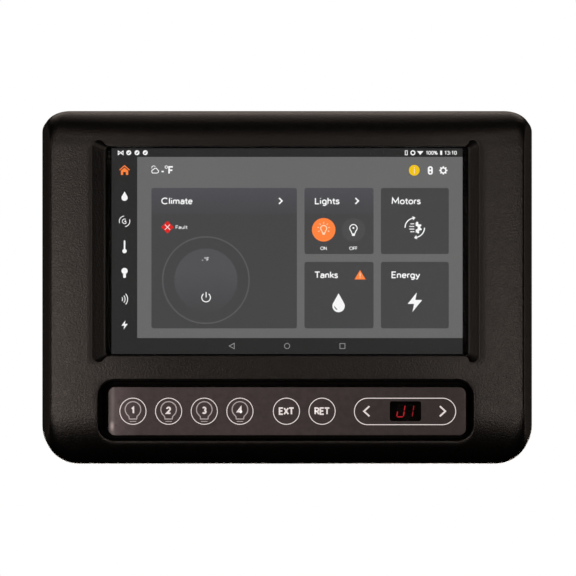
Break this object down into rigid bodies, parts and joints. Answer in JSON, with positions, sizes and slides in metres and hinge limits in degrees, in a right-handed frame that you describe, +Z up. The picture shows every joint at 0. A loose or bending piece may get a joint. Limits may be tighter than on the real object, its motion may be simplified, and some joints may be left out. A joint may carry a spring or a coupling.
{
  "type": "wall control panel",
  "caption": "Flush-mounted caravan control panel with a wide touchscreen, a recessed strip of round press keys, a digit readout and a back box for the wall cavity.",
  "frame": {"origin": "centre of the wall plane behind the bezel, where the flange's back face meets the wall", "axes": "+X to the viewer's right, +Y into the wall, +Z up; the screen faces -Y"},
  "size_m": [0.217, 0.0542, 0.1556],
  "materials": {
    "bezel_abs": "fine-grained satin black-brown ABS",
    "gasket_foam": "closed-cell foam",
    "screen_glass": "polished, black ink border behind",
    "tape": "black foam tape",
    "lcd_glass": "lit picture behind glass",
    "diffuser": "milky sheet",
    "guide_acrylic": "clear acrylic",
    "reflector": "white sheet",
    "led_strip": "yellow-white LED strip",
    "stamped_steel": "stamped, zinc-plated",
    "screw_steel": "zinc-plated",
    "flex_film": "amber polyimide film",
    "chassis_abs": "moulded, fine spark-eroded",
    "circuit_board": "green solder mask",
    "shield_tin": "tinned steel",
    "heat_sink_aluminium": "clear anodised",
    "chip_epoxy": "moulded epoxy",
    "capacitor_can": "bare can",
    "inductor_ferrite": "ferrite",
    "cell_steel": "stainless",
    "ivory_nylon": "moulded nylon",
    "buzzer_black": "moulded",
    "pin_brass": "plated",
    "ribbon_white": "flat cable film",
    "carrier_abs": "moulded",
    "key_film": "printed polyester film, brown-grey",
    "window_tint": "smoked red acrylic",
    "module_black": "potted LED module",
    "segment_red": "lit segment",
    "switch_black": "moulded",
    "dome_steel": "spring steel",
    "plunger_white": "moulded acetal"
  },
  "bodies": {
    "housing": {"front_bezel": "bezel_abs", "screen_gasket": "gasket_foam", "cover_glass": "screen_glass", "display_tape": "tape", "lcd_panel": "lcd_glass", "diffuser_sheets": "diffuser", "light_guide": "guide_acrylic", "reflector_sheet": "reflector", "backlight_led_bar": "led_strip", "display_tray": "stamped_steel", "display_screws": "screw_steel", "display_flex": "flex_film", "chassis": "chassis_abs", "back_cover": "chassis_abs", "back_cover_screws": "screw_steel", "main_board": "circuit_board", "board_screws": "screw_steel", "processor_shield": "shield_tin", "heat_sink": "heat_sink_aluminium", "board_chips": "chip_epoxy", "wifi_module": "shield_tin", "capacitors": "capacitor_can", "inductors": "inductor_ferrite", "coin_cell": "cell_steel", "coin_cell_holder": "ivory_nylon", "buzzer": "buzzer_black", "power_socket": "ivory_nylon", "harness_socket": "ivory_nylon", "socket_pins": "pin_brass", "ribbon_sockets": "ivory_nylon", "key_ribbon": "ribbon_white", "key_carrier": "carrier_abs", "carrier_screws": "screw_steel", "key_board": "circuit_board", "key_board_screws": "screw_steel", "key_overlay": "key_film", "digit_window": "window_tint", "digit_module": "module_black", "digit_segments": "segment_red", "switch_bodies": "switch_black", "switch_domes": "dome_steel"},
    "light_key_1_body": {"light_key_1": "key_film", "light_plunger_1": "plunger_white"},
    "light_key_2_body": {"light_key_2": "key_film", "light_plunger_2": "plunger_white"},
    "light_key_3_body": {"light_key_3": "key_film", "light_plunger_3": "plunger_white"},
    "light_key_4_body": {"light_key_4": "key_film", "light_plunger_4": "plunger_white"},
    "extend_key_body": {"extend_key": "key_film", "extend_plunger": "plunger_white"},
    "retract_key_body": {"retract_key": "key_film", "retract_plunger": "plunger_white"},
    "previous_key_body": {"previous_key": "key_film", "previous_plunger": "plunger_white"},
    "next_key_body": {"next_key": "key_film", "next_plunger": "plunger_white"}
  },
  "joints": [
    {"name": "light_key_1_press", "type": "slide", "parent": "housing", "child": "light_key_1_body", "axis": [0, 1, 0], "range_m": [0, 0.0004], "stiffness_N_per_m": 4000},
    {"name": "light_key_2_press", "type": "slide", "parent": "housing", "child": "light_key_2_body", "axis": [0, 1, 0], "range_m": [0, 0.0004], "stiffness_N_per_m": 4000},
    {"name": "light_key_3_press", "type": "slide", "parent": "housing", "child": "light_key_3_body", "axis": [0, 1, 0], "range_m": [0, 0.0004], "stiffness_N_per_m": 4000},
    {"name": "light_key_4_press", "type": "slide", "parent": "housing", "child": "light_key_4_body", "axis": [0, 1, 0], "range_m": [0, 0.0004], "stiffness_N_per_m": 4000},
    {"name": "extend_key_press", "type": "slide", "parent": "housing", "child": "extend_key_body", "axis": [0, 1, 0], "range_m": [0, 0.0004], "stiffness_N_per_m": 4000},
    {"name": "retract_key_press", "type": "slide", "parent": "housing", "child": "retract_key_body", "axis": [0, 1, 0], "range_m": [0, 0.0004], "stiffness_N_per_m": 4000},
    {"name": "previous_key_press", "type": "slide", "parent": "housing", "child": "previous_key_body", "axis": [0, 1, 0], "range_m": [0, 0.0004], "stiffness_N_per_m": 4000},
    {"name": "next_key_press", "type": "slide", "parent": "housing", "child": "next_key_body", "axis": [0, 1, 0], "range_m": [0, 0.0004], "stiffness_N_per_m": 4000}
  ]
}
